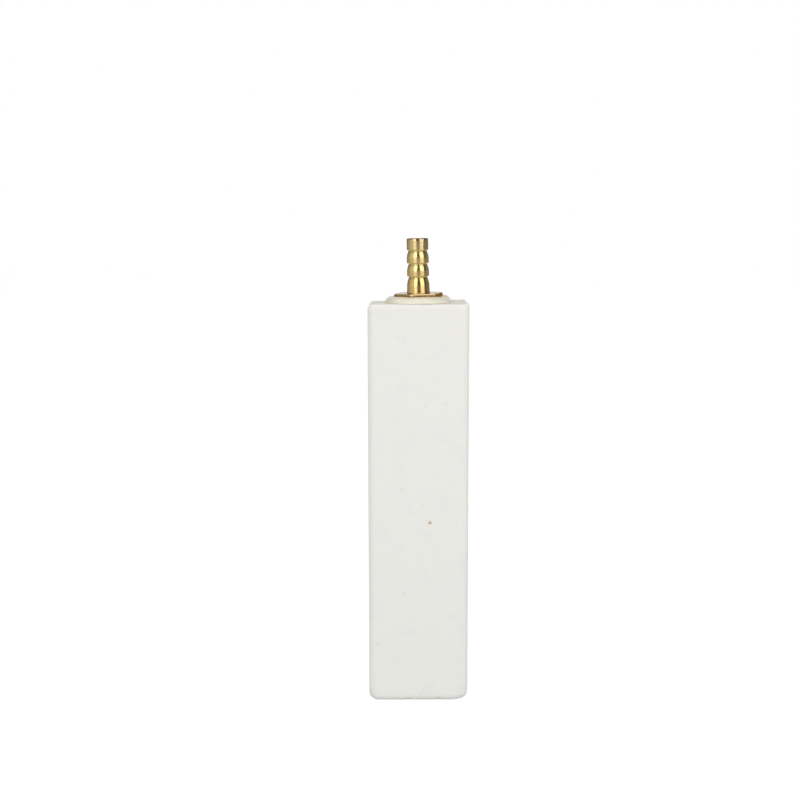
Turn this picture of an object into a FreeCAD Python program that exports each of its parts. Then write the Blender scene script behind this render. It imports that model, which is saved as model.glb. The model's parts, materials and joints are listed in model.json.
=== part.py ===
import FreeCAD, Part
import math
import os

# Air stone bar
# A square bar of porous ceramic stands on one end. A brass hose tail is bedded in resin in its
# upper end, and air passes through it into a blind channel that was moulded down the bar.
# The origin is the centre of the lower end, with +Z up the bar. Lengths are in millimetres.

# Porous bar
BAR_WIDTH = 50.0
BAR_DEPTH = 50.0
BAR_HEIGHT = 200.0
UPRIGHT_EDGE_RADIUS = 3.2
TOP_EDGE_RADIUS = 2.2
BASE_EDGE_RADIUS = 3.0

# Air channel down the middle of the bar, its pointed end, and the wall left below that
CHANNEL_RADIUS = 7.0
CHANNEL_POINT_ANGLE = 120.0
CHANNEL_END_WALL = 22.0

# Resin: its thickness beside the shank, under the hexagon and under the shank's end
RESIN_BESIDE_SHANK = 1.2
RESIN_UNDER_HEXAGON = 0.8
RESIN_UNDER_SHANK = 0.6

# Resin bead on the bar: how far it spreads past the hexagon's corners, the level part of that,
# and how high it stands
BEAD_SPREAD = 4.3
BEAD_LEVEL_RIM = 0.3
BEAD_HEIGHT = 3.1
# How steeply the bead rises from the bar, how gently it ends at the level part, and the round
# between the two slopes
BEAD_FOOT_ANGLE = 66.0
BEAD_TOP_ANGLE = 10.0
BEAD_EDGE_RADIUS = 2.4

# Hexagon of the fitting, with its upper corners turned back to a round land
HEX_ACROSS_FLATS = 22.0
HEX_THICKNESS = 4.1
HEX_CORNER_INSET = 0.8
HEX_CHAMFER_ANGLE = 30.0
HEX_TURN_ANGLE = 13.0

# Shank of the fitting, down in the bar
SHANK_RADIUS = 10.4775
SHANK_LENGTH = 12.0
SHANK_LEAD_CHAMFER = 1.0

# Hose tail: a collar on the hexagon, then ridges, then a plain tip. Each ridge has a land at
# its lower end, a bulged taper above it and a short groove above that. A hose grips on the
# shoulders over the grooves.
RIDGE_RADIUS = 5.5
GROOVE_RADIUS = 4.7
GROOVE_LENGTH = 0.5
TIP_RADIUS = 5.4
COLLAR_RADIUS = 5.7
COLLAR_LENGTH = 8.6
COLLAR_LAND = 3.2
COLLAR_FLARE = 0.3
RIDGE_COUNT = 2
RIDGE_PITCH = 6.55
RIDGE_LAND = 2.4
SHOULDER_DROP = 0.3
TIP_LENGTH = 5.7
TIP_CHAMFER = 0.3

# Bore right through the fitting
BORE_RADIUS = 3.75
BORE_MOUTH_CHAMFER = 0.5

# The fitting as set by hand in its resin: off centre towards +X at the bar's upper face, and
# leaning from there sideways, towards -X, and forward, towards -Y
FITTING_OFF_CENTRE = 0.4
FITTING_SIDE_LEAN_ANGLE = 1.2
FITTING_FRONT_LEAN_ANGLE = 1.8

# How far a cutting shape runs past what it cuts
CUT_PAST = 1.0
# How near an edge lies to a plane that it counts as being in
IN_PLANE = 0.001

# Sizes and heights that follow from those above
HEX_SIDES = 6
hex_half = HEX_ACROSS_FLATS / 2
hex_corner_radius = hex_half / math.cos(math.pi / HEX_SIDES)
hex_bottom = BAR_HEIGHT + RESIN_UNDER_HEXAGON
hex_top = hex_bottom + HEX_THICKNESS
shank_end = hex_bottom - SHANK_LENGTH
socket_floor = shank_end - RESIN_UNDER_SHANK
socket_radius = SHANK_RADIUS + RESIN_BESIDE_SHANK
bead_radius = hex_corner_radius + BEAD_SPREAD
tip_start = hex_top + COLLAR_LENGTH + RIDGE_COUNT * RIDGE_PITCH
tail_top = tip_start + TIP_LENGTH
UP = FreeCAD.Vector(0, 0, 1)


def at(radius, height):
    """A point of an outline that is turned about the bar's axis."""
    return FreeCAD.Vector(radius, 0, height)


def straight_edges(points):
    """The straight edges that join a row of outline points."""
    return [Part.makeLine(start, end) for start, end in zip(points, points[1:])]


def turned(edges):
    """The solid made by turning a closed outline about the bar's axis."""
    outline = Part.Face(Part.Wire(edges))
    return outline.revolve(FreeCAD.Vector(0, 0, 0), UP, 360)


def bulged_arc(foot, head):
    """An arc that leaves its foot upright and bends in towards a narrower head."""
    rise = head.z - foot.z
    narrowing = foot.x - head.x
    radius = (rise ** 2 + narrowing ** 2) / (2 * narrowing)
    half_turn = math.asin(rise / radius) / 2
    middle = at(foot.x - radius * (1 - math.cos(half_turn)), foot.z + radius * math.sin(half_turn))
    return Part.Arc(foot, middle, head).toShape()


def rounded_slope(rim, crest):
    """The bead's outline: a steep slope from the rim, a round, and a gentle slope to the crest."""
    foot_angle = math.radians(BEAD_FOOT_ANGLE)
    top_angle = math.radians(BEAD_TOP_ANGLE)
    up_foot = at(-math.cos(foot_angle), math.sin(foot_angle))
    down_top = at(math.cos(top_angle), -math.sin(top_angle))
    run = rim.x - crest.x
    rise = crest.z - rim.z
    turn = foot_angle - top_angle
    foot_length = (rise * math.cos(top_angle) - run * math.sin(top_angle)) / math.sin(turn)
    corner = rim + up_foot * foot_length
    reach = BEAD_EDGE_RADIUS * math.tan(turn / 2)
    round_start = corner - up_foot * reach
    round_end = corner + down_top * -reach
    inward = (down_top * -1 - up_foot).normalize()
    sagitta = BEAD_EDGE_RADIUS * (1 / math.cos(turn / 2) - 1)
    round_middle = corner + inward * sagitta
    return [
        Part.makeLine(rim, round_start),
        Part.Arc(round_start, round_middle, round_end).toShape(),
        Part.makeLine(round_end, crest),
    ]


def rounded_block():
    """The bar's outer form, with its widest rounding done first."""
    corner = FreeCAD.Vector(-BAR_WIDTH / 2, -BAR_DEPTH / 2, 0)
    block = Part.makeBox(BAR_WIDTH, BAR_DEPTH, BAR_HEIGHT, corner)

    def stands(edge):
        return edge.BoundBox.ZLength > BAR_HEIGHT / 2

    def lies_on_top(edge):
        return edge.BoundBox.ZMin > BAR_HEIGHT - IN_PLANE

    def lies_at_base(edge):
        return edge.BoundBox.ZMax < IN_PLANE

    roundings = [
        (UPRIGHT_EDGE_RADIUS, stands),
        (BASE_EDGE_RADIUS, lies_at_base),
        (TOP_EDGE_RADIUS, lies_on_top),
    ]
    for radius, belongs in sorted(roundings, key=lambda rounding: -rounding[0]):
        block = block.makeFillet(radius, [edge for edge in block.Edges if belongs(edge)])
    return block


def channel_space():
    """The space moulded in the bar: the socket for the shank above the air channel."""
    point_depth = CHANNEL_RADIUS / math.tan(math.radians(CHANNEL_POINT_ANGLE / 2))
    above = BAR_HEIGHT + CUT_PAST
    return turned(straight_edges([
        at(0, CHANNEL_END_WALL),
        at(CHANNEL_RADIUS, CHANNEL_END_WALL + point_depth),
        at(CHANNEL_RADIUS, socket_floor),
        at(socket_radius, socket_floor),
        at(socket_radius, above),
        at(0, above),
        at(0, CHANNEL_END_WALL),
    ]))


def stone_bar():
    """The porous bar, with the socket and the air channel open at its upper end."""
    return rounded_block().cut(channel_space())


def hose_tail_edges():
    """The outline of the hose tail, from the hexagon's upper face to the rim of the tip."""
    land_start = at(COLLAR_RADIUS, hex_top + COLLAR_FLARE)
    edges = straight_edges([at(COLLAR_RADIUS + COLLAR_FLARE, hex_top), land_start])
    land_end = at(COLLAR_RADIUS, hex_top + COLLAR_LAND)
    shoulder = hex_top + COLLAR_LENGTH
    for ridge in range(RIDGE_COUNT + 1):
        groove_end = at(GROOVE_RADIUS, shoulder - SHOULDER_DROP)
        groove_start = at(GROOVE_RADIUS, shoulder - SHOULDER_DROP - GROOVE_LENGTH)
        last = ridge == RIDGE_COUNT
        edges += straight_edges([land_start, land_end])
        edges.append(bulged_arc(land_end, groove_start))
        land_start = at(TIP_RADIUS if last else RIDGE_RADIUS, shoulder)
        edges += straight_edges([groove_start, groove_end, land_start])
        land_end = at(RIDGE_RADIUS, shoulder + RIDGE_LAND)
        shoulder += RIDGE_PITCH
    chamfer_foot = at(TIP_RADIUS, tail_top - TIP_CHAMFER)
    edges += straight_edges([land_start, chamfer_foot, at(TIP_RADIUS - TIP_CHAMFER, tail_top)])
    return edges


def fitting_blank():
    """The fitting as turned, solid, with a round disc where the hexagon will be."""
    land_radius = hex_corner_radius - HEX_CORNER_INSET
    chamfer_drop = HEX_CORNER_INSET * math.tan(math.radians(HEX_CHAMFER_ANGLE))
    edges = straight_edges([
        at(0, tail_top),
        at(0, shank_end),
        at(SHANK_RADIUS - SHANK_LEAD_CHAMFER, shank_end),
        at(SHANK_RADIUS, shank_end + SHANK_LEAD_CHAMFER),
        at(SHANK_RADIUS, hex_bottom),
        at(hex_corner_radius, hex_bottom),
        at(hex_corner_radius, hex_top - chamfer_drop),
        at(land_radius, hex_top),
        at(COLLAR_RADIUS + COLLAR_FLARE, hex_top),
    ])
    edges += hose_tail_edges()
    edges += straight_edges([at(TIP_RADIUS - TIP_CHAMFER, tail_top), at(0, tail_top)])
    return turned(edges)


def around_hexagon():
    """What is milled away from the disc to leave its six flats."""
    bottom = hex_bottom - CUT_PAST
    height = HEX_THICKNESS + 2 * CUT_PAST
    corners = []
    for side in range(HEX_SIDES + 1):
        angle = math.radians(HEX_TURN_ANGLE) + side * 2 * math.pi / HEX_SIDES
        x = hex_corner_radius * math.cos(angle)
        y = hex_corner_radius * math.sin(angle)
        corners.append(FreeCAD.Vector(x, y, bottom))
    hexagon = Part.Face(Part.makePolygon(corners)).extrude(UP * height)
    ring = Part.makeCylinder(hex_corner_radius + CUT_PAST, height, FreeCAD.Vector(0, 0, bottom))
    return ring.cut(hexagon)


def fitting_bore():
    """The bore through the fitting, which widens at the tip."""
    mouth_radius = BORE_RADIUS + BORE_MOUTH_CHAMFER
    return turned(straight_edges([
        at(0, shank_end - CUT_PAST),
        at(BORE_RADIUS, shank_end - CUT_PAST),
        at(BORE_RADIUS, tail_top - BORE_MOUTH_CHAMFER),
        at(mouth_radius, tail_top),
        at(mouth_radius, tail_top + CUT_PAST),
        at(0, tail_top + CUT_PAST),
        at(0, shank_end - CUT_PAST),
    ]))


def as_set(shape):
    """A shape of the fitting, put where the fitting stands in its resin."""
    upper_face = FreeCAD.Vector(0, 0, BAR_HEIGHT)
    shape.rotate(upper_face, FreeCAD.Vector(0, 1, 0), -FITTING_SIDE_LEAN_ANGLE)
    shape.rotate(upper_face, FreeCAD.Vector(1, 0, 0), FITTING_FRONT_LEAN_ANGLE)
    shape.translate(FreeCAD.Vector(FITTING_OFF_CENTRE, 0, 0))
    return shape


def fitting_form():
    """The fitting's outer form as it stands in the bar, not yet bored."""
    return as_set(fitting_blank().cut(around_hexagon()))


def hose_fitting():
    """The brass fitting: shank, hexagon and hose tail in one piece, bored right through."""
    return fitting_form().cut(as_set(fitting_bore()))


def poured_resin():
    """The resin as if no fitting stood in it: the filled socket under a domed bead."""
    crest = at(hex_corner_radius + BEAD_LEVEL_RIM, BAR_HEIGHT + BEAD_HEIGHT)
    rim = at(bead_radius, BAR_HEIGHT)
    edges = straight_edges([
        at(0, crest.z),
        at(0, socket_floor),
        at(socket_radius, socket_floor),
        at(socket_radius, BAR_HEIGHT),
        rim,
    ])
    edges += rounded_slope(rim, crest)
    edges += straight_edges([crest, at(0, crest.z)])
    return turned(edges)


def resin_seal():
    """The resin that the fitting is bedded in, open in the middle over the air channel."""
    floor_hole = Part.makeCylinder(
        CHANNEL_RADIUS, hex_bottom - socket_floor + CUT_PAST,
        FreeCAD.Vector(0, 0, socket_floor - CUT_PAST),
    )
    return poured_resin().cut(fitting_form()).cut(floor_hole)


PIECES = {
    "stone_bar": stone_bar,
    "hose_fitting": hose_fitting,
    "resin_seal": resin_seal,
}

os.makedirs("parts", exist_ok=True)
for name, make in PIECES.items():
    piece = make()
    piece.exportStep(os.path.join("parts", name + ".step"))
    print(name, len(piece.Solids), "solid, volume", round(piece.Volume, 2), "mm3, valid", piece.isValid())
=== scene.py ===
import json
import math

import bmesh
import bpy
from mathutils import Euler, Matrix, Vector


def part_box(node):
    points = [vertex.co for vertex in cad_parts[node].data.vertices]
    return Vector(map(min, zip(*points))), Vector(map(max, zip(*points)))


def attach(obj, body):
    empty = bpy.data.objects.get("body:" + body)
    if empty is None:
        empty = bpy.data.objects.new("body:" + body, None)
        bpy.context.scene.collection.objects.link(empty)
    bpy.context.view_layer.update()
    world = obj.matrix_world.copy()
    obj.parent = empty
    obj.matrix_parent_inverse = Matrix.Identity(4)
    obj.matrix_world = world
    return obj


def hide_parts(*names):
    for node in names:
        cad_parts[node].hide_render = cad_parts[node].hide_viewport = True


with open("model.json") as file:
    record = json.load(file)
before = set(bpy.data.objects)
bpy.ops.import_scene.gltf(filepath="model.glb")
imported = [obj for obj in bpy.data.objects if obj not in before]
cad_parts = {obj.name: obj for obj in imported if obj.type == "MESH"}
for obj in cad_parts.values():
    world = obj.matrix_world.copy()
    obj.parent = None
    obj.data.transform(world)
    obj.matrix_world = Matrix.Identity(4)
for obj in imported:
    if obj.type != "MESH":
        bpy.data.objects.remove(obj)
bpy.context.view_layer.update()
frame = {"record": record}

# Air stone bar
# A square bar of white porous ceramic stands on its end. A turned brass hose tail is bedded in
# its upper face in a bead of cast resin. Lengths are in metres, and MM is one millimetre.
MM = 0.001
bar_low, bar_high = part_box("stone_bar")
tail_axis = next(mount["axis"] for mount in frame["record"]["mounts"] if mount["name"] == "hose_tail")

# Bar
UPRIGHT_EDGE = 3.2 * MM
TOP_EDGE = 2.2 * MM
BASE_EDGE = 3.0 * MM
EDGE_STEPS = 5
GRID = 1.0 * MM
HEIGHT_CUTS = (99, 1)
SOCKET_RADIUS = 11.6775 * MM
SOCKET_DEPTH = 11.8 * MM
CHANNEL_RADIUS = 7.0 * MM
CHANNEL_END = 22.0 * MM
CHANNEL_POINT = 4.04 * MM

# Fitting, with heights measured from the bar's upper face
HEX_SIDES = 6
HEX_ACROSS_FLATS = 22.0 * MM
HEX_FLAT_RADIUS = HEX_ACROSS_FLATS / 2
HEX_CORNER_RADIUS = HEX_FLAT_RADIUS / math.cos(math.pi / HEX_SIDES)
HEX_LOW = 0.8 * MM
HEX_HIGH = 4.9 * MM
HEX_CORNER_INSET = 0.8 * MM
HEX_CHAMFER_ANGLE = 30
HEX_TURN_ANGLE = 13
HEX_CORNER_WEAR = 0.3 * MM
HEX_CORNER_STEPS = 3
FRONT_CORNER_ANGLE = HEX_TURN_ANGLE + 240
FRONT_CORNER_WEAR = 0.36 * MM
FRONT_CORNER_SLOPE = 14
SHARP_EDGE_WEAR = 0.09 * MM
SHARP_EDGE_STEPS = 2
SHANK_RADIUS = 10.4775 * MM
SHANK_END = -11.2 * MM
SHANK_CHAMFER = 1.0 * MM
RIDGE_RADIUS = 5.5 * MM
GROOVE_RADIUS = 4.7 * MM
GROOVE_LENGTH = 0.5 * MM
TIP_RADIUS = 5.4 * MM
COLLAR_RADIUS = 5.7 * MM
COLLAR_LENGTH = 8.6 * MM
COLLAR_LAND = 3.2 * MM
COLLAR_FLARE = 0.3 * MM
COLLAR_SWELL = 0.14 * MM
RIDGE_COUNT = 2
RIDGE_PITCH = 6.55 * MM
RIDGE_LAND = 2.4 * MM
BULGE_STEPS = 6
SHOULDER_DROP = 0.3 * MM
TIP_LENGTH = 5.7 * MM
TIP_CHAMFER = 0.3 * MM
BORE_RADIUS = 3.75 * MM
BORE_MOUTH = 0.5 * MM
OFF_CENTRE = 0.4 * MM
TAIL_TOP = HEX_HIGH + COLLAR_LENGTH + RIDGE_COUNT * RIDGE_PITCH + TIP_LENGTH
side_lean = math.asin(tail_axis[0])
front_lean = math.atan2(-tail_axis[1], tail_axis[2])

# Resin bead
BEAD_RADIUS = 17.0 * MM
BEAD_CREST_RADIUS = 12.9 * MM
BEAD_HEIGHT = 3.1 * MM
BEAD_FULLNESS = 1.95
BEAD_STEPS = 12
RESIN_OVERLAP = 0.03 * MM
POURED_GRAIN = 7.0 * MM
POURED_DEPTH = 0.5 * MM
POURED_FROM = 0.05 * MM

# Modelling: angles past which an edge counts as sharp, in degrees, the sides of a turned ring, a
# radius thin enough to stand for the axis, and the distances at which places are taken as the same
SHARP_ON_BAR = 50
SHARP_ON_BRASS = 32
SHARP_ON_RESIN = 40
WORN_ANGLE = 20
TURNED_SIDES = 128
THIN = 0.01 * MM
NEARLY = 0.01 * MM
MEETING = 0.0005 * MM

# Camera, set to the photograph's view
IMAGE_SIZE = 800
FOCAL_LENGTH_PX = 1250
SENSOR_WIDTH = 36.0
CAMERA_PLACE = (-9.08 * MM, -633.8 * MM, 228.4 * MM)
CAMERA_DOWN = math.radians(7.02)
CAMERA_ROLL = math.radians(-0.07)
NEAREST_SEEN = 0.01
FARTHEST_SEEN = 20


def focus(piece):
    """Makes a piece the only selected one and the active one."""
    bpy.ops.object.select_all(action="DESELECT")
    piece.select_set(True)
    bpy.context.view_layer.objects.active = piece


def pick(piece, kind, belongs):
    """Selects the points, edges or faces of the piece in edit mode that pass a test."""
    bpy.ops.mesh.select_mode(type=kind)
    bpy.ops.mesh.select_all(action="DESELECT")
    shape = bmesh.from_edit_mesh(piece.data)
    for element in {"VERT": shape.verts, "EDGE": shape.edges, "FACE": shape.faces}[kind]:
        if belongs(element):
            element.select_set(True)
    bmesh.update_edit_mesh(piece.data)


def new_piece(name):
    """Names the primitive that was just added and puts its place and size in its mesh."""
    piece = bpy.context.object
    piece.name = name
    piece.data.name = name
    bpy.ops.object.transform_apply(location=True, rotation=True, scale=True)
    return piece


def use_modifier(piece, kind, **settings):
    """Adds one modifier to a piece and applies it."""
    focus(piece)
    bpy.ops.object.modifier_add(type=kind)
    modifier = piece.modifiers[-1]
    for name, value in settings.items():
        setattr(modifier, name, value)
    bpy.ops.object.modifier_apply(modifier=modifier.name)


def cut_away(piece, cutter):
    """Cuts one solid from a piece, and deletes the cutter."""
    use_modifier(piece, "BOOLEAN", operation="DIFFERENCE", solver="EXACT", object=cutter)
    bpy.data.objects.remove(cutter, do_unlink=True)


def roughen(piece, name, grain, depth, outward_share, group=""):
    """Gives a surface a cloudy unevenness of one grain, at most a little of it outward."""
    texture = bpy.data.textures.new(name, "CLOUDS")
    texture.noise_scale = grain
    texture.noise_depth = 2
    use_modifier(
        piece, "DISPLACE", texture=texture, texture_coords="LOCAL", strength=depth,
        mid_level=1 - outward_share, vertex_group=group,
    )


def drag(push, reach):
    """Moves the selected points, and takes those within reach softly along."""
    bpy.ops.transform.translate(
        value=push, use_proportional_edit=True,
        proportional_edit_falloff="SMOOTH", proportional_size=reach,
    )


def press(piece, place, reach, push):
    """Presses the surface in round one place, as a knock or a thumb does."""
    focus(piece)
    bpy.ops.object.mode_set(mode="EDIT")

    def gap(vertex):
        return sum((a - b) ** 2 for a, b in zip(vertex.co, place))

    nearest = min(bmesh.from_edit_mesh(piece.data).verts, key=gap).index
    pick(piece, "VERT", lambda vertex: vertex.index == nearest)
    drag(push, reach)
    bpy.ops.object.mode_set(mode="OBJECT")


def press_all(piece, places):
    """Presses the surface in at several places, given in millimetres with their reach and push."""
    for place, reach, push in places:
        press(piece, [v * MM for v in place], reach * MM, [v * MM for v in push])


def flatten(piece, axis, limit, belongs):
    """Moves the points that pass a plane back to it."""
    focus(piece)
    bpy.ops.object.mode_set(mode="EDIT")
    pick(piece, "VERT", lambda vertex: vertex.co[axis] > limit and belongs(vertex.co))
    scale = [0 if axis == other else 1 for other in range(3)]
    plane = [limit if axis == other else 0 for other in range(3)]
    bpy.ops.transform.resize(value=scale, center_override=plane)
    bpy.ops.object.mode_set(mode="OBJECT")


def smooth(piece, sharp_angle):
    """Shades a piece smooth but for the edges sharper than an angle in degrees."""
    focus(piece)
    bpy.ops.object.shade_smooth_by_angle(angle=math.radians(sharp_angle))


def turned(name, outline):
    """Draws a ring through a closed outline of radii and heights, which makes a turned solid."""
    bpy.ops.object.select_all(action="DESELECT")
    radius, height = outline[0]
    bpy.ops.mesh.primitive_circle_add(vertices=TURNED_SIDES, radius=radius, location=(0, 0, height))
    piece = new_piece(name)
    bpy.ops.object.mode_set(mode="EDIT")
    bpy.ops.mesh.select_mode(type="EDGE")
    bpy.ops.mesh.select_all(action="SELECT")
    for next_radius, next_height in outline[1:] + outline[:1]:
        rise = (0, 0, next_height - height)
        bpy.ops.mesh.extrude_region_move(TRANSFORM_OT_translate={"value": rise})
        growth = next_radius / radius
        bpy.ops.transform.resize(value=(growth, growth, 1), center_override=(0, 0, next_height))
        radius, height = next_radius, next_height
    close_up(piece)
    bpy.ops.object.mode_set(mode="OBJECT")
    return piece


def close_up(piece):
    """Joins the points that meet, and turns all faces outward."""
    bpy.ops.mesh.select_all(action="SELECT")
    bpy.ops.mesh.remove_doubles(threshold=MEETING)
    bpy.ops.mesh.normals_make_consistent(inside=False)


# Porous bar


def round_edges(bar, radius, belongs):
    """Rounds the edges that pass a test."""
    pick(bar, "EDGE", belongs)
    bpy.ops.mesh.bevel(offset=radius, segments=EDGE_STEPS, affect="EDGES")


def stands(edge):
    """Whether an edge is upright."""
    start, end = (vertex.co for vertex in edge.verts)
    return abs(end.z - start.z) > GRID and abs(end.x - start.x) + abs(end.y - start.y) < NEARLY


def lies_at(height):
    """A test for the edges at one height."""
    return lambda edge: all(abs(vertex.co.z - height) < NEARLY for vertex in edge.verts)


def divide_level(bar):
    """Cuts the bar into a grid, first across and then up its height, by a hundred and by two."""
    for axis in (0, 1):
        inner = bar_high[axis] - UPRIGHT_EDGE
        count = round(2 * inner / GRID)
        normal = [1 if axis == other else 0 for other in range(3)]
        for cut in range(1, count):
            place = [0, 0, 0]
            place[axis] = -inner + 2 * inner * cut / count
            bpy.ops.mesh.select_all(action="SELECT")
            bpy.ops.mesh.bisect(plane_co=place, plane_no=normal)
    for cuts in HEIGHT_CUTS:
        pick(bar, "EDGE", lambda edge: stands(edge) and edge.calc_length() > GRID * 1.5)
        bpy.ops.mesh.subdivide(number_cuts=cuts)


def channel_cutter():
    """The space in the bar: the socket for the shank above the air channel and its point."""
    top = bar_high.z
    floor = top - SOCKET_DEPTH
    return turned("channel_cutter", [
        (THIN, top + MM), (SOCKET_RADIUS, top + MM), (SOCKET_RADIUS, floor), (CHANNEL_RADIUS, floor),
        (CHANNEL_RADIUS, CHANNEL_END + CHANNEL_POINT), (THIN, CHANNEL_END),
    ])


# The bar's unevenness: name, grain and depth in millimetres, and how much of it lies outward
UNEVENNESS = [("slow_waves", 22.0, 0.14, 0.15), ("lumps", 3.2, 0.08, 0.15), ("grains", 1.1, 0.06, 0.1)]


def porous_bar():
    """The bar of porous ceramic, with worn edges, its socket and its air channel."""
    centre = (bar_low + bar_high) / 2
    bpy.ops.object.select_all(action="DESELECT")
    bpy.ops.mesh.primitive_cube_add(size=1, location=centre, scale=bar_high - bar_low)
    bar = new_piece("porous_bar")
    bpy.ops.object.mode_set(mode="EDIT")
    round_edges(bar, UPRIGHT_EDGE, stands)
    round_edges(bar, TOP_EDGE, lies_at(bar_high.z))
    round_edges(bar, BASE_EDGE, lies_at(bar_low.z))
    divide_level(bar)
    close_up(bar)
    bpy.ops.object.mode_set(mode="OBJECT")
    for name, grain, depth, outward_share in UNEVENNESS:
        roughen(bar, name, grain * MM, depth * MM, outward_share)
    wear_edges(bar)
    cut_away(bar, channel_cutter())
    smooth(bar, SHARP_ON_BAR)
    return bar


# Knocks along the bar's edges: place, reach and push, in millimetres
KNOCKS = [
    ((25.0, -25.0, 0.0), 8.0, (-0.3, 0.4, 1.0)),
    ((-25.0, -25.0, 0.5), 4.0, (0.4, 0.3, 0.5)),
    ((-4.7, -24.0, 0.6), 1.6, (0, 0.5, 0.5)),
    ((4.4, -24.0, 0.6), 1.3, (0, 0.4, 0.4)),
    ((9.9, -24.0, 0.6), 1.8, (0, 0.5, 0.6)),
    ((-16.0, -24.4, 199.4), 1.8, (0, 0.3, -0.3)),
    ((12.5, -24.4, 199.4), 1.5, (0, 0.25, -0.3)),
    ((24.2, -24.2, 117.0), 2.2, (-0.35, 0.35, 0)),
    ((-24.3, -24.3, 62.0), 2.0, (0.3, 0.3, 0)),
    ((24.3, 24.3, 0.5), 5.0, (-0.7, -0.6, 0.8)),
    ((-24.3, 24.3, 151.0), 2.5, (0.4, -0.4, 0)),
    ((-24.6, 3.0, 0.6), 1.8, (0.5, 0, 0.5)),
    ((24.6, 8.0, 199.3), 1.8, (-0.3, 0, -0.4)),
    ((19.0, 23.5, 199.8), 6.0, (0, 0.1, 0.75)),
    ((23.8, 21.5, 199.0), 4.0, (0.1, 0, 0.75)),
]


# The upper right edge is fuller than the others: the middle of its rounding, how far round and along
# it is pushed, and the planes that hold it back, each with the place from which it does
FULL_MIDDLE = (24.36 * MM, 199.36 * MM)
FULL_WIDTH = 0.5 * MM
FULL_LENGTH = 20.0 * MM
FULL_REACH = 2.4 * MM
FULL_PUSH = (0.7 * MM, 0, 0.95 * MM)
SIDE_LIMIT = 24.97 * MM
SIDE_LIMIT_FROM = 190.0 * MM
UPPER_LIMIT = 200.25 * MM
UPPER_LIMIT_FROM = 15.0 * MM


def on_full_edge(place):
    """Whether a point is on the middle of the fuller edge's rounding."""
    off = math.hypot(place.x - FULL_MIDDLE[0], place.z - FULL_MIDDLE[1])
    return off < FULL_WIDTH and abs(place.y) < FULL_LENGTH


def fill_edge(bar):
    """Fills out the rounding of the upper right edge."""
    focus(bar)
    bpy.ops.object.mode_set(mode="EDIT")
    pick(bar, "VERT", lambda vertex: on_full_edge(vertex.co))
    drag(FULL_PUSH, FULL_REACH)
    bpy.ops.object.mode_set(mode="OBJECT")


def wear_edges(bar):
    """Fills out the crisp upper right edge, then knocks the others."""
    fill_edge(bar)
    flatten(bar, 2, UPPER_LIMIT, lambda place: place.x > UPPER_LIMIT_FROM)
    press_all(bar, KNOCKS)
    flatten(bar, 0, SIDE_LIMIT, lambda place: place.z > SIDE_LIMIT_FROM)


# Brass fitting

# Wear on the hexagon's six upper edges, in millimetres, with the front one fifth
WORN_RIMS = (0.12, 0.1, 0.12, 0.14, 0.34, 0.14)


def bulge(foot, head):
    """Points of the arc that leaves its foot upright and bends in towards a narrower head."""
    rise = head[1] - foot[1]
    narrowing = foot[0] - head[0]
    radius = (rise ** 2 + narrowing ** 2) / (2 * narrowing)
    turn = math.asin(rise / radius)
    steps = [turn * step / BULGE_STEPS for step in range(BULGE_STEPS + 1)]
    return [(foot[0] - radius * (1 - math.cos(a)), foot[1] + radius * math.sin(a)) for a in steps]


def tail_outline():
    """The hose tail from the hexagon's upper face to the tip."""
    foot = COLLAR_RADIUS + COLLAR_SWELL / 2
    outline = [(foot + COLLAR_FLARE, HEX_HIGH), (foot, HEX_HIGH + COLLAR_FLARE)]
    land_end = (COLLAR_RADIUS - COLLAR_SWELL / 2, HEX_HIGH + COLLAR_LAND)
    shoulder = HEX_HIGH + COLLAR_LENGTH
    for ridge in range(RIDGE_COUNT + 1):
        groove_end = shoulder - SHOULDER_DROP
        outline += bulge(land_end, (GROOVE_RADIUS, groove_end - GROOVE_LENGTH))
        outline.append((GROOVE_RADIUS, groove_end))
        outline.append((TIP_RADIUS if ridge == RIDGE_COUNT else RIDGE_RADIUS, shoulder))
        land_end = (RIDGE_RADIUS, shoulder + RIDGE_LAND)
        shoulder += RIDGE_PITCH
    rim = TAIL_TOP - TIP_CHAMFER
    return outline + [(TIP_RADIUS, rim - MM), (TIP_RADIUS, rim), (TIP_RADIUS - TIP_CHAMFER, TAIL_TOP)]


def fitting_outline():
    """The whole fitting in half section, with a round disc where the hexagon will be."""
    drop = HEX_CORNER_INSET * math.tan(math.radians(HEX_CHAMFER_ANGLE))
    return [
        (BORE_RADIUS, SHANK_END), (SHANK_RADIUS - SHANK_CHAMFER, SHANK_END),
        (SHANK_RADIUS, SHANK_END + SHANK_CHAMFER), (SHANK_RADIUS, HEX_LOW),
        (HEX_CORNER_RADIUS, HEX_LOW), (HEX_CORNER_RADIUS, HEX_HIGH - drop),
        (HEX_CORNER_RADIUS - HEX_CORNER_INSET, HEX_HIGH), *tail_outline(),
        (BORE_RADIUS + BORE_MOUTH, TAIL_TOP), (BORE_RADIUS, TAIL_TOP - BORE_MOUTH),
    ]


def flat_direction(side):
    """The direction that one of the hexagon's six flats faces."""
    angle = math.radians(HEX_TURN_ANGLE + 360 / HEX_SIDES * (side + 0.5))
    return Vector((math.cos(angle), math.sin(angle), 0))


def mill_flats(fitting):
    """Takes the round disc back to the six flats of a hexagon."""
    bpy.ops.object.mode_set(mode="EDIT")
    for side in range(HEX_SIDES):
        outward = flat_direction(side)
        place = outward * HEX_FLAT_RADIUS
        bpy.ops.mesh.select_all(action="SELECT")
        bpy.ops.mesh.bisect(plane_co=place, plane_no=outward, use_fill=True, clear_outer=True)
    close_up(fitting)
    bpy.ops.object.mode_set(mode="OBJECT")


def file_off(fitting, place, outward):
    """Takes off what lies past a plane from the hexagon, and leaves the tail whole."""
    pick(fitting, "FACE", lambda face: all(v.co.z < HEX_HIGH + NEARLY for v in face.verts))
    bpy.ops.mesh.bisect(plane_co=place, plane_no=outward, use_fill=True, clear_outer=True)


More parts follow.
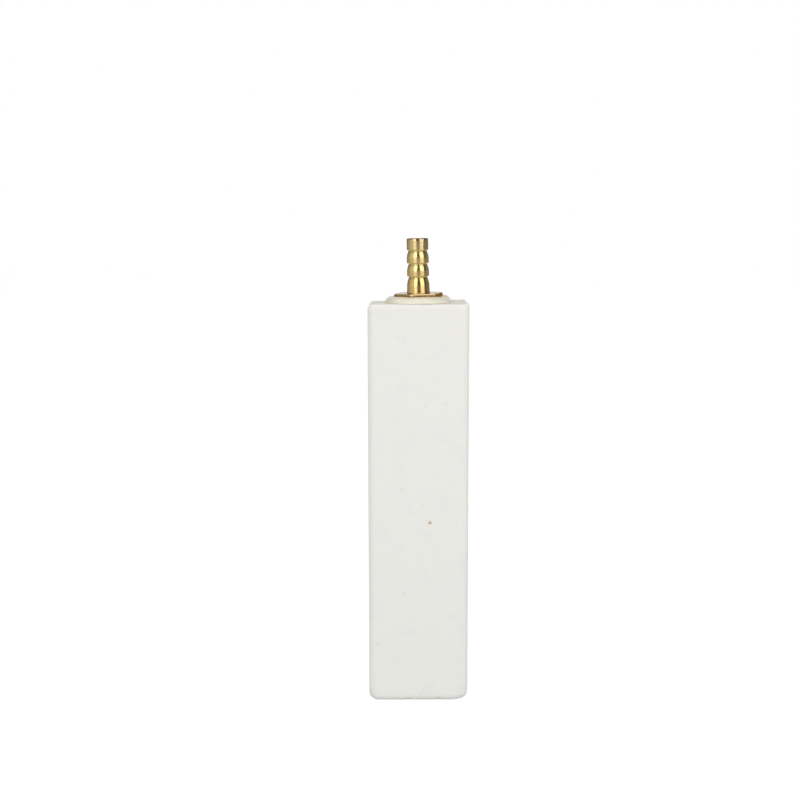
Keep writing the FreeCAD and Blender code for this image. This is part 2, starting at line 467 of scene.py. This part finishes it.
def is_hexagon_corner(edge):
    """Whether an edge is one of the hexagon's upright ones."""
    return stands(edge) and edge.verts[0].co.xy.length > HEX_FLAT_RADIUS + MM


def wear_hexagon(fitting):
    """Takes the sharp rims off the hexagon: its upper edges, its front corner, then every corner."""
    bpy.ops.object.mode_set(mode="EDIT")
    for side, worn in enumerate(WORN_RIMS):
        outward = flat_direction(side)
        place = outward * (HEX_FLAT_RADIUS - worn * MM) + Vector((0, 0, HEX_HIGH))
        file_off(fitting, place, outward + Vector((0, 0, 1)))
    angle = math.radians(FRONT_CORNER_ANGLE)
    slope = math.tan(math.radians(FRONT_CORNER_SLOPE))
    outward = Vector((math.cos(angle), math.sin(angle), slope))
    place = outward * (HEX_CORNER_RADIUS - FRONT_CORNER_WEAR)
    place.z = HEX_HIGH
    file_off(fitting, place, outward)
    close_up(fitting)
    pick(fitting, "EDGE", is_hexagon_corner)
    bpy.ops.mesh.bevel(offset=HEX_CORNER_WEAR, segments=HEX_CORNER_STEPS, affect="EDGES")
    bpy.ops.object.mode_set(mode="OBJECT")


# Nicks and burrs on the front of the tip's rim: place, reach and push, in millimetres
RIM_NICKS = [
    ((-4.6, -4.0, 232.1), 2.0, (0.05, 0.05, -0.25)),
    ((-0.2, -6.4, 232.1), 0.8, (0, 0.25, -0.35)),
    ((2.2, -5.9, 232.1), 0.6, (0, 0.1, -0.2)),
    ((-3.1, -5.4, 232.1), 0.6, (0, 0, 0.22)),
    ((3.6, -4.8, 232.1), 0.7, (0, 0, 0.18)),
]


def set_in_resin(piece):
    """Stands a piece of the fitting where it was set by hand: off centre and leaning a little."""
    focus(piece)
    place = Matrix.Translation((OFF_CENTRE, 0, bar_high.z))
    piece.matrix_world = place @ Matrix.Rotation(front_lean, 4, "X") @ Matrix.Rotation(side_lean, 4, "Y")
    bpy.ops.object.transform_apply(location=True, rotation=True, scale=True)


def brass_fitting():
    """The fitting: turned, milled to a hexagon, worn, set in the resin and nicked."""
    fitting = turned("brass_fitting", fitting_outline())
    mill_flats(fitting)
    wear_hexagon(fitting)
    bpy.ops.object.mode_set(mode="EDIT")
    bpy.ops.mesh.select_mode(type="EDGE")
    bpy.ops.mesh.select_all(action="DESELECT")
    bpy.ops.mesh.edges_select_sharp(sharpness=math.radians(WORN_ANGLE))
    bpy.ops.mesh.bevel(
        offset=SHARP_EDGE_WEAR, segments=SHARP_EDGE_STEPS, affect="EDGES", clamp_overlap=True,
    )
    close_up(fitting)
    bpy.ops.object.mode_set(mode="OBJECT")
    set_in_resin(fitting)
    press_all(fitting, RIM_NICKS)
    smooth(fitting, SHARP_ON_BRASS)
    use_modifier(fitting, "WEIGHTED_NORMAL", keep_sharp=True)
    return fitting


# Resin bead


def bead_outline():
    """The filled socket and the bead over it, in half section."""
    outline = [
        (CHANNEL_RADIUS, -SOCKET_DEPTH), (SOCKET_RADIUS, -SOCKET_DEPTH), (SOCKET_RADIUS, 0),
    ]
    power = 2 / BEAD_FULLNESS
    for step in range(BEAD_STEPS + 1):
        turn = math.pi / 2 * step / BEAD_STEPS
        reach = BEAD_CREST_RADIUS + (BEAD_RADIUS - BEAD_CREST_RADIUS) * math.cos(turn) ** power
        outline.append((reach, BEAD_HEIGHT * math.sin(turn) ** power))
    return outline + [(SHANK_RADIUS, BEAD_HEIGHT), (CHANNEL_RADIUS, BEAD_HEIGHT)]


def fitting_cutter():
    """The hexagon and shank as a solid that the resin was poured round."""
    bpy.ops.object.select_all(action="DESELECT")
    bpy.ops.mesh.primitive_cylinder_add(
        vertices=HEX_SIDES, radius=HEX_CORNER_RADIUS - RESIN_OVERLAP, depth=2 * HEX_HIGH,
        location=(0, 0, HEX_LOW + HEX_HIGH),
        rotation=(0, 0, math.radians(HEX_TURN_ANGLE) + math.pi / 2),
    )
    hexagon = new_piece("hexagon_cutter")
    shank = turned("shank_cutter", [
        (THIN, HEX_LOW + MM), (SHANK_RADIUS - RESIN_OVERLAP, HEX_LOW + MM),
        (SHANK_RADIUS - RESIN_OVERLAP, SHANK_END), (THIN, SHANK_END),
    ])
    for cutter in (hexagon, shank):
        set_in_resin(cutter)
    return hexagon, shank


# Uneven places of the poured bead: place, reach and push, in millimetres
BEAD_LUMPS = [
    ((11.8, -5.2, 203.0), 4.0, (0, 0, -0.75)),
    ((14.6, 4.5, 202.8), 5.0, (0.1, 0, 1.0)),
    ((12.0, 8.0, 203.0), 5.0, (0, 0, 0.8)),
    ((-13.6, 0.0, 203.0), 4.0, (-0.1, 0, 0.35)),
    ((9.5, 10.5, 203.0), 7.0, (0, 0.2, 0.6)),
    ((-15.5, -6.0, 201.8), 4.0, (-0.2, -0.2, -0.2)),
    ((4.0, -16.2, 201.5), 5.0, (0, -0.3, 0.1)),
    ((-6.0, -14.0, 203.0), 4.5, (0, 0, -0.25)),
    ((-9.0, 13.5, 202.6), 5.0, (-0.2, 0.3, -0.2)),
]


def resin_bead():
    """The poured resin, uneven above the bar and cut to the fitting."""
    bead = turned("resin_bead", bead_outline())
    focus(bead)
    bead.location = (0, 0, bar_high.z)
    bpy.ops.object.transform_apply(location=True, rotation=True, scale=True)
    above = bead.vertex_groups.new(name="above")
    shown = [v.index for v in bead.data.vertices if v.co.z > bar_high.z + POURED_FROM]
    above.add(shown, 1.0, "REPLACE")
    roughen(bead, "pouring", POURED_GRAIN, POURED_DEPTH, 0.5, "above")
    press_all(bead, BEAD_LUMPS)
    for cutter in fitting_cutter():
        cut_away(bead, cutter)
    smooth(bead, SHARP_ON_RESIN)
    return bead


# Materials


def new_material(name):
    """A material, its node tree and its shader."""
    material = bpy.data.materials.new(name)
    material.use_nodes = True
    tree = material.node_tree
    return material, tree, tree.nodes["Principled BSDF"]


def add(tree, kind, inputs=None, **settings):
    """Adds one node. Each input is a plain value or another node's output."""
    node = tree.nodes.new("ShaderNode" + kind)
    for name, value in settings.items():
        setattr(node, name, value)
    for name, value in (inputs or {}).items():
        if isinstance(value, bpy.types.NodeSocket):
            tree.links.new(value, node.inputs[name])
        else:
            node.inputs[name].default_value = value
    return node


def maths(tree, operation, first, second=0.0, clamp=False):
    return add(tree, "Math", {0: first, 1: second}, operation=operation, use_clamp=clamp).outputs[0]


def times(tree, first, second):
    return maths(tree, "MULTIPLY", first, second)


def mixed(tree, amount, first, second):
    """Blends two colours by an amount."""
    return add(tree, "Mix", {0: amount, 6: first, 7: second}, data_type="RGBA").outputs[2]


def spread(tree, value, low, high, bottom=0.0, top=1.0):
    """Maps a range of values smoothly to another, and holds its ends."""
    inputs = {"Value": value, "From Min": low, "From Max": high, "To Min": bottom, "To Max": top}
    return add(tree, "MapRange", inputs, interpolation_type="SMOOTHSTEP").outputs["Result"]


def place_on_piece(tree, scale=(1, 1, 1), centre=(0, 0, 0), turn=(0, 0, 0)):
    """The point on the piece, in millimetres from a centre, with each axis scaled."""
    coordinates = add(tree, "TexCoord").outputs["Object"]
    per_metre = [s / MM for s in scale]
    scaled_centre = Vector([c * s for c, s in zip(centre, scale)])
    scaled_centre.rotate(Euler(turn))
    inputs = {"Vector": coordinates, "Scale": per_metre, "Rotation": turn, "Location": -scaled_centre}
    return add(tree, "Mapping", inputs).outputs["Vector"]


def noise(tree, where, size, detail, roughness, distortion=0.0):
    """Cloudy noise whose lumps are about one size across, in millimetres."""
    inputs = {
        "Vector": where, "Scale": 1 / size, "Detail": detail, "Roughness": roughness,
        "Distortion": distortion,
    }
    return add(tree, "TexNoise", inputs).outputs["Fac"]


def bump(tree, height, strength, distance, below=None):
    """A surface raised by a height, over another such surface if one is given."""
    inputs = {"Height": height, "Strength": strength, "Distance": distance}
    if below is not None:
        inputs["Normal"] = below
    return add(tree, "Bump", inputs).outputs["Normal"]


def reach_from_axis(tree, where):
    """How far a point is from the upright axis through the centre."""
    level = add(tree, "VectorMath", {0: where, 1: (1, 1, 0)}, operation="MULTIPLY").outputs[0]
    return add(tree, "VectorMath", {0: level}, operation="LENGTH").outputs["Value"]


def spot(tree, where, centre, size):
    """A soft spot: one at its centre, nothing past its size."""
    offset = add(tree, "VectorMath", {0: where, 1: centre}, operation="SUBTRACT").outputs[0]
    scaled = add(tree, "VectorMath", {0: offset, 1: [1 / s for s in size]}, operation="MULTIPLY")
    length = add(tree, "VectorMath", {0: scaled.outputs[0]}, operation="LENGTH").outputs["Value"]
    return spread(tree, length, 1.0, 0.25)


# Colours of the ceramic, of its marks and of painted light on its top, and how far apart its pores are
# in millimetres
WHITE_CERAMIC = (0.855, 0.855, 0.815, 1)
COOL_CERAMIC = (0.825, 0.832, 0.80, 1)
WARM_CERAMIC = (0.86, 0.853, 0.785, 1)
GRAIN_GREY = (0.74, 0.745, 0.72, 1)
PORE_GREY = (0.60, 0.60, 0.56, 1)
CORNER_YELLOW = (0.80, 0.74, 0.60, 1)
TOP_BAND_CREAM = (0.84, 0.80, 0.70, 1)
PALE_BAND_WHITE = (0.97, 0.96, 0.93, 1)
RUST_ORANGE = (0.80, 0.52, 0.30, 1)
BLUSH_PINK = (0.85, 0.66, 0.60, 1)
SPOT_GREY = (0.42, 0.43, 0.42, 1)
DASH_WHITE = (0.90, 0.90, 0.89, 1)
HALO_ORANGE = (0.78, 0.52, 0.30, 1)
SPECK_BROWN = (0.16, 0.08, 0.05, 1)
PORE_SPACING = 1.3

# Marks on the bar's front: place and half size in millimetres, with the front at -25. The dark
# spots have a strength of their own. The marks reach a little way into the bar.
FRONT = -25.0
DEEP = 4.0
DASH_STRENGTH = 0.6
DARK_SPOTS = [
    ((-8.1, 109.0), (1.0, 0.8), 0.5), ((3.7, 150.4), (0.8, 0.8), 0.4), ((-7.2, 55.8), (0.9, 0.8), 0.5),
    ((2.3, 100.5), (0.8, 0.7), 0.4), ((4.0, 174.1), (0.9, 0.7), 0.4), ((13.5, 151.2), (0.9, 0.8), 0.4),
    ((-20.3, 29.8), (1.1, 1.0), 0.7), ((-18.6, 28.6), (0.6, 0.6), 0.5), ((1.4, 3.7), (1.3, 0.8), 0.5),
]
PALE_DASHES = [
    ((15.7, 47.4), (1.5, 0.45)), ((17.9, 41.2), (1.3, 0.4)), ((9.8, 35.0), (1.4, 0.45)),
    ((19.9, 20.4), (1.2, 0.4)), ((-0.5, 162.8), (1.3, 0.4)), ((11.4, 158.5), (1.2, 0.4)),
    ((11.5, 176.0), (1.4, 0.45)), ((9.5, 183.4), (1.1, 0.4)), ((-14.1, 98.5), (1.2, 0.4)),
    ((-22.1, 94.4), (1.0, 0.4)), ((-17.1, 91.9), (1.1, 0.4)),
]
RUST_SPECK = (5.7, 91.9)


def on_front(place):
    """The point on the front at a place across and a height."""
    return (place[0], FRONT, place[1])


def all_spots(tree, where, marks):
    """The sum of several spots on the front, each with its own strength."""
    total = None
    for place, half_size, strength in marks:
        size = (half_size[0], DEEP, half_size[1])
        one = times(tree, spot(tree, where, on_front(place), size), strength)
        total = one if total is None else maths(tree, "ADD", total, one, clamp=True)
    return total


def ceramic_finish():
    """White porous ceramic: even and matte, faintly mottled, with pores, specks and edge stains."""
    material, tree, shader = new_material("porous_ceramic")
    where = place_on_piece(tree)
    clouds = spread(tree, noise(tree, where, size=9.0, detail=4, roughness=0.6), 0.45, 0.75)
    colour = mixed(tree, clouds, WHITE_CERAMIC, COOL_CERAMIC)
    drifts = noise(tree, where, size=16.0, detail=3, roughness=0.5, distortion=0.6)
    colour = mixed(tree, spread(tree, drifts, 0.55, 0.8), colour, WARM_CERAMIC)
    grain = noise(tree, where, size=0.55, detail=3, roughness=0.7)
    colour = mixed(tree, spread(tree, grain, 0.55, 0.8, 0, 0.3), colour, GRAIN_GREY)
    pores = add(tree, "TexVoronoi", {"Vector": where, "Scale": 1 / PORE_SPACING, "Randomness": 1.0})
    pore = spread(tree, pores.outputs["Distance"], 0.22, 0.05)
    colour = mixed(tree, times(tree, pore, 0.2), colour, PORE_GREY)

    parts = add(tree, "SeparateXYZ", {"Vector": where})
    height = parts.outputs["Z"]
    sideways = maths(tree, "ABSOLUTE", parts.outputs["X"])
    deep = maths(tree, "ABSOLUTE", parts.outputs["Y"])
    corner = times(tree, spread(tree, sideways, 18, 25), spread(tree, deep, 18, 25))
    low = spread(tree, height, 120, 30)
    colour = mixed(tree, times(tree, times(tree, corner, low), 0.04), colour, CORNER_YELLOW)
    band = times(tree, spread(tree, height, 193, 197), 0.3)
    colour = mixed(tree, band, colour, TOP_BAND_CREAM)

    # Paler along the front's base edge; and painted light along the front's top edge and on the upper
    # face's strip before the bead, which the bead shades
    pale_bands = maths(tree, "MAXIMUM", spread(tree, height, 1.8, 0.5), spread(tree, height, 199.3, 199.8))
    pale_bands = times(tree, pale_bands, spread(tree, parts.outputs["Y"], -14, -19))
    colour = mixed(tree, pale_bands, colour, PALE_BAND_WHITE)

    foot = spot(tree, where, (-25, FRONT, 4.5), (2.4, 3.0, 4.5))
    colour = mixed(tree, times(tree, foot, 0.5), colour, RUST_ORANGE)
    blush = spot(tree, where, (-25, FRONT, 82), (2.0, 4.0, 6.0))
    colour = mixed(tree, times(tree, blush, 0.4), colour, BLUSH_PINK)

    dark = all_spots(tree, where, DARK_SPOTS)
    colour = mixed(tree, times(tree, dark, 0.45), colour, SPOT_GREY)
    pale = all_spots(tree, where, [(place, size, DASH_STRENGTH) for place, size in PALE_DASHES])
    colour = mixed(tree, pale, colour, DASH_WHITE)
    halo = spot(tree, where, on_front(RUST_SPECK), (1.7, DEEP, 1.6))
    colour = mixed(tree, times(tree, halo, 0.55), colour, HALO_ORANGE)
    core = spot(tree, where, on_front(RUST_SPECK), (0.65, DEEP, 0.6))
    colour = mixed(tree, core, colour, SPECK_BROWN)
    tree.links.new(colour, shader.inputs["Base Color"])

    shader.inputs["Roughness"].default_value = 0.92
    shader.inputs["Specular IOR Level"].default_value = 0.25
    fine = bump(tree, grain, 0.35, 0.12 * MM)
    lumps = noise(tree, where, size=2.4, detail=3, roughness=0.6)
    coarse = bump(tree, lumps, 0.3, 0.25 * MM, fine)
    tree.links.new(bump(tree, pore, -0.5, 0.15 * MM, coarse), shader.inputs["Normal"])
    return material


# Colours of the brass and of its duller places, of painted shade on its lands and of a painted highlight
# on its chamfer
GOLD = (0.80, 0.61, 0.25, 1)
COPPER = (0.79, 0.53, 0.18, 1)
TARNISH_BROWN = (0.60, 0.42, 0.17, 1)
FLAT_BROWN = (0.24, 0.14, 0.055, 1)
TIP_BRASS = (0.61, 0.48, 0.22, 1)
LAND_SHADE_BRASS = (0.66, 0.47, 0.18, 1)
CHAMFER_HIGHLIGHT = (1.0, 0.72, 0.37, 1)
RIM_OLIVE = (0.34, 0.28, 0.15, 1)
GROOVE_OLIVE = (0.36, 0.28, 0.06, 1)

# Dark marks on the brass, most of them painted shade, and two at a nick and a dot on the rim: place and
# half size on the fitting in millimetres, strength and colour
BRASS_SHADE_AND_MARKS = [
    # Painted shade on the hexagon's left front edge and its left corner
    ((-8.0, -7.6, 4.8), (7.0, 6.0, 0.7), 0.85, (0.26, 0.17, 0.08, 1)),
    ((-11.8, -3.4, 4.4), (1.6, 3.0, 1.5), 0.6, (0.22, 0.15, 0.10, 1)),
    # Painted shadow on the right of the tip's rim
    ((4.3, -3.0, 32.1), (2.0, 4.0, 0.8), 0.8, (0.24, 0.24, 0.25, 1)),
    # Dark at a nick and at a dot on the front of the rim
    ((0.0, -5.2, 31.9), (1.1, 2.0, 1.1), 0.85, (0.18, 0.13, 0.05, 1)),
    ((-3.1, -4.3, 32.2), (0.8, 2.0, 0.6), 0.85, (0.22, 0.18, 0.10, 1)),
    # Painted shade down the tip's left edge, and painted dark reflections on the right of the tip and of
    # the collar
    ((-5.3, 0.0, 28.0), (0.9, 4.0, 6.0), 0.45, (0.34, 0.34, 0.22, 1)),
    ((4.6, -2.8, 29.0), (0.7, 2.0, 4.0), 0.5, (0.40, 0.26, 0.13, 1)),
    ((5.0, -3.0, 10.0), (1.2, 3.0, 7.0), 0.5, (0.62, 0.36, 0.05, 1)),
]

# Heights of the fitting's straight lands, darkened as painted shade, in millimetres from the bar's upper
# face
LANDS = [(4.9, 8.1), (13.5, 15.9), (20.05, 22.45)]

# Where the fitting and the resin meet the bar's upper face, in millimetres
FITTING_FOOT = (0.4, 0, 200)
RESIN_FOOT = (0, 0, 200)

# The tool's fine rings: noise drawn out level and packed close in height
RING_STRETCH = (0.12, 0.12, 4.0)


def brass_finish():
    """Turned brass: bright, with fine tool rings, tarnish in the grooves and a coppery foot."""
    material, tree, shader = new_material("turned_brass")
    upright = (-front_lean, -side_lean, 0)
    where = place_on_piece(tree, centre=FITTING_FOOT, turn=upright)
    rings = place_on_piece(tree, scale=RING_STRETCH, centre=FITTING_FOOT, turn=upright)
    height = add(tree, "SeparateXYZ", {"Vector": where}).outputs["Z"]
    reach = reach_from_axis(tree, where)
    colour = mixed(tree, spread(tree, height, 22, 4), GOLD, COPPER)
    tarnish = spread(tree, noise(tree, where, size=3.0, detail=4, roughness=0.65), 0.5, 0.8)
    colour = mixed(tree, times(tree, tarnish, 0.15), colour, TARNISH_BROWN)
    on_flats = times(tree, spread(tree, reach, 10.75, 10.95), spread(tree, height, 4.55, 4.4))
    skin = spread(tree, noise(tree, where, size=1.2, detail=4, roughness=0.7), 0.3, 0.7, 0.6, 1.0)
    colour = mixed(tree, times(tree, on_flats, skin), colour, FLAT_BROWN)
    on_tip = times(tree, spread(tree, height, 26.1, 26.9), 0.8)
    colour = mixed(tree, on_tip, colour, TIP_BRASS)
    # Painted shade: the straight lands are drawn darker, as they catch less of the lamps than the tapers
    for low, high in LANDS:
        past_low = spread(tree, height, low - 0.1, low + 0.1)
        past_high = spread(tree, height, high, high + 0.3)
        on_land = maths(tree, "SUBTRACT", past_low, past_high, clamp=True)
        colour = mixed(tree, times(tree, on_land, 0.6), colour, LAND_SHADE_BRASS)
    # Painted highlight: the hexagon's upper chamfer is drawn paler and brighter than the brass around it
    on_chamfer = times(tree, spread(tree, reach, 10.0, 10.4), spread(tree, height, 4.4, 4.5))
    colour = mixed(tree, times(tree, on_chamfer, 0.8), colour, CHAMFER_HIGHLIGHT)
    on_rim = times(tree, spread(tree, height, 31.8, 32.15), 0.5)
    colour = mixed(tree, on_rim, colour, RIM_OLIVE)
    in_groove = times(tree, spread(tree, reach, 5.1, 4.75), spread(tree, height, 5, 11))
    colour = mixed(tree, times(tree, in_groove, 0.6), colour, GROOVE_OLIVE)
    for place, size, strength, shade in BRASS_SHADE_AND_MARKS:
        amount = times(tree, spot(tree, where, place, size), strength)
        colour = mixed(tree, amount, colour, shade)
    tree.links.new(colour, shader.inputs["Base Color"])
    shader.inputs["Metallic"].default_value = 1.0
    shader.inputs["Specular Tint"].default_value = (0.80, 0.60, 0.32, 1)
    marks = noise(tree, rings, size=1.0, detail=3, roughness=0.6)
    dull = maths(tree, "ADD", spread(tree, height, 4, 30, 0.12, 0.17), times(tree, marks, 0.1))
    dull = maths(tree, "ADD", dull, times(tree, tarnish, 0.06))
    tree.links.new(dull, shader.inputs["Roughness"])
    tree.links.new(spread(tree, on_flats, 0.0, 1.0, 0.8, 0.1), shader.inputs["Coat Weight"])
    shader.inputs["Coat IOR"].default_value = 1.6
    shader.inputs["Coat Roughness"].default_value = 0.12
    shader.inputs["Anisotropic"].default_value = 0.7
    shader.inputs["Anisotropic Rotation"].default_value = 0.25
    around = add(tree, "Tangent", direction_type="RADIAL", axis="Z").outputs["Tangent"]
    tree.links.new(around, shader.inputs["Tangent"])
    tree.links.new(bump(tree, marks, 0.1, 0.02 * MM), shader.inputs["Normal"])
    return material


# Colours of the resin
CREAM = (0.84, 0.79, 0.665, 1)
GREEN_CREAM = (0.79, 0.795, 0.64, 1)
SHADED_GREEN = (0.66, 0.68, 0.50, 1)
WARM_TINT_AND_LIGHT = (0.96, 0.84, 0.70, 1)


def resin_finish():
    """Cast resin: glossy cream, slightly clear, with cloudy colour, a painted shadow at its left foot,
    and by the brass a warm tint that is also painted light.
    """
    material, tree, shader = new_material("cast_resin")
    where = place_on_piece(tree, centre=RESIN_FOOT)
    clouds = spread(tree, noise(tree, where, size=6.0, detail=3, roughness=0.5), 0.45, 0.7)
    colour = mixed(tree, clouds, CREAM, GREEN_CREAM)
    reach = reach_from_axis(tree, where)
    shade = spot(tree, where, (-14.5, -8.0, 0.5), (6.0, 8.0, 3.0))
    colour = mixed(tree, times(tree, shade, 0.75), colour, SHADED_GREEN)
    # By the brass: a warm tint, made paler as painted light against the shade under the hexagon
    near_brass = spread(tree, reach, 14.5, 12.3)
    colour = mixed(tree, times(tree, near_brass, 0.85), colour, WARM_TINT_AND_LIGHT)
    tree.links.new(colour, shader.inputs["Base Color"])
    tree.links.new(spread(tree, reach, 13.2, 15.0, 0.7, 0.08), shader.inputs["Roughness"])
    shader.inputs["IOR"].default_value = 1.6
    tree.links.new(spread(tree, reach, 13.2, 15.0, 0.1, 0.5), shader.inputs["Specular IOR Level"])
    shader.inputs["Subsurface Weight"].default_value = 0.25
    shader.inputs["Subsurface Radius"].default_value = (1.0, 0.7, 0.4)
    shader.inputs["Subsurface Scale"].default_value = 1.2 * MM
    ripples = noise(tree, where, size=2.5, detail=2, roughness=0.5)
    tree.links.new(bump(tree, ripples, 0.15, 0.1 * MM), shader.inputs["Normal"])
    return material


# Studio: the floor, the room's light, how bright its parts are in mirrors, and the lamps
WHITE = (1, 1, 1, 1)
FLOOR_SIDE = 12.0
FLOOR_COLOUR = (0.70, 0.70, 0.70, 1)
FLOOR_LIFT = 0.575
AMBIENT = 0.36
AMBIENT_ABOVE = 0.28
AMBIENT_LEFT = 0.30
MIRRORED_AIR = 0.085
MIRRORED_BACK = (0.2, 0.64)
MIRRORED_CEILING = 0.85
MIRRORED_LEFT = (0.75, 0.2)
MIRRORED_RIGHT = 0.2
MIRRORED_FLOOR_LEFT = 0.35
MIRRORED_FLOOR_NEAR = 0.8
SOFT_BOX_DISTANCE = 1.3
# Soft boxes: azimuth from the camera's side, elevation, width, height and power
SOFT_BOXES = {
    "left_box": (-27, 25, 0.72, 1.08, 4.35),
    "right_box": (44, 25, 0.98, 1.08, 5.65),
}


def place_camera():
    """Looks at the bar from the photograph's place."""
    data = bpy.data.cameras.new("camera")
    data.sensor_width = SENSOR_WIDTH
    data.lens = FOCAL_LENGTH_PX / IMAGE_SIZE * SENSOR_WIDTH
    data.clip_start = NEAREST_SEEN
    data.clip_end = FARTHEST_SEEN
    camera = bpy.data.objects.new("camera", data)
    bpy.context.scene.collection.objects.link(camera)
    tilt = Matrix.Rotation(math.pi / 2 - CAMERA_DOWN, 4, "X")
    camera.matrix_world = Matrix.Translation(CAMERA_PLACE) @ tilt @ Matrix.Rotation(CAMERA_ROLL, 4, "Z")
    bpy.context.scene.camera = camera


def soft_box(name, azimuth, elevation, width, height, power):
    """A lamp that faces the bar from one direction, where azimuth 0 is the camera's side."""
    data = bpy.data.lights.new(name, "AREA")
    data.shape = "RECTANGLE"
    data.size = width
    data.size_y = height
    data.energy = power
    lamp = bpy.data.objects.new(name, data)
    bpy.context.scene.collection.objects.link(lamp)
    around = Matrix.Rotation(math.radians(azimuth), 4, "Z")
    tilt = Matrix.Rotation(math.pi / 2 - math.radians(elevation), 4, "X")
    middle = Matrix.Translation((0, 0, (bar_low.z + bar_high.z) / 2))
    lamp.matrix_world = middle @ around @ tilt @ Matrix.Translation((0, 0, SOFT_BOX_DISTANCE))


def studio_air():
    """White behind the bar, a plain grey room for its light, and a darker room to reflect."""
    world = bpy.data.worlds.new("studio")
    bpy.context.scene.world = world
    world.use_nodes = True
    tree = world.node_tree
    background = tree.nodes["Background"]
    path = add(tree, "LightPath")
    direction = add(tree, "SeparateXYZ", {"Vector": add(tree, "TexCoord").outputs["Generated"]})
    across, away, up = (direction.outputs[axis] for axis in "XYZ")
    leftward = spread(tree, across, -0.2, -0.8)
    above = spread(tree, up, 0.1, 0.9)
    even = maths(tree, "ADD", times(tree, leftward, AMBIENT_LEFT), AMBIENT)
    even = maths(tree, "ADD", even, times(tree, above, AMBIENT_ABOVE))

    back_wall = times(tree, spread(tree, away, 0.8, 1.0), spread(tree, up, 0.0, 0.08, *MIRRORED_BACK))
    left_wall = times(tree, leftward, spread(tree, away, -0.9, 0.9, *MIRRORED_LEFT))
    right_side = spread(tree, across, 0.4, 0.6)
    right_wall = times(tree, right_side, spread(tree, away, -0.2, 0.6, 0.0, MIRRORED_RIGHT))
    mirrored = spread(tree, up, 0.78, 0.92, 0.0, MIRRORED_CEILING)
    for wall in (back_wall, left_wall, right_wall):
        mirrored = maths(tree, "MAXIMUM", mirrored, wall)
    mirrored = maths(tree, "ADD", mirrored, MIRRORED_AIR, clamp=True)

    seen = mixed(tree, path.outputs["Is Glossy Ray"], even, mirrored)
    seen = mixed(tree, path.outputs["Is Camera Ray"], seen, WHITE)
    seen = mixed(tree, path.outputs["Is Transmission Ray"], seen, WHITE)
    tree.links.new(seen, background.inputs["Color"])


def studio_floor():
    """A pale floor that looks white, yet keeps the bar's soft shadow."""
    bpy.ops.object.select_all(action="DESELECT")
    bpy.ops.mesh.primitive_plane_add(size=FLOOR_SIDE, location=(0, 0, 0))
    floor = new_piece("floor")
    material, tree, shader = new_material("pale_floor")
    shader.inputs["Base Color"].default_value = FLOOR_COLOUR
    shader.inputs["Roughness"].default_value = 0.9
    shader.inputs["Specular IOR Level"].default_value = 0.1
    path = add(tree, "LightPath")
    glow = add(tree, "Emission", {"Color": WHITE, "Strength": FLOOR_LIFT})
    on_floor = add(tree, "TexCoord").outputs["Object"]
    place = add(tree, "SeparateXYZ", {"Vector": on_floor})
    left_part = times(
        tree, spread(tree, place.outputs["X"], -0.4, -1.6, 0.0, MIRRORED_FLOOR_LEFT),
        spread(tree, place.outputs["Y"], 2.4, -1.0),
    )
    away = add(tree, "VectorMath", {0: on_floor}, operation="LENGTH").outputs["Value"]
    near_part = spread(tree, away, 1.4, 0.9, 0.0, MIRRORED_FLOOR_NEAR)
    shown = maths(tree, "MAXIMUM", left_part, near_part)
    mirrored = times(tree, path.outputs["Is Glossy Ray"], shown)
    looked_at = maths(tree, "MAXIMUM", path.outputs["Is Camera Ray"], mirrored)
    lifted = add(tree, "AddShader", {0: shader.outputs[0], 1: glow.outputs[0]})
    chosen = add(tree, "MixShader", {0: looked_at, 1: shader.outputs[0], 2: lifted.outputs[0]})
    tree.links.new(chosen.outputs[0], tree.nodes["Material Output"].inputs["Surface"])
    floor.data.materials.append(material)


def dress(piece, node, material):
    """Gives a new piece its material, and its place in the assembly."""
    piece.data.materials.clear()
    piece.data.materials.append(material)
    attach(piece, "root")
    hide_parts(node)


dress(porous_bar(), "stone_bar", ceramic_finish())
dress(brass_fitting(), "hose_fitting", brass_finish())
dress(resin_bead(), "resin_seal", resin_finish())
place_camera()
for name, sizes in SOFT_BOXES.items():
    soft_box(name, *sizes)
studio_air()
studio_floor()
bpy.context.scene.view_settings.view_transform = "Standard"
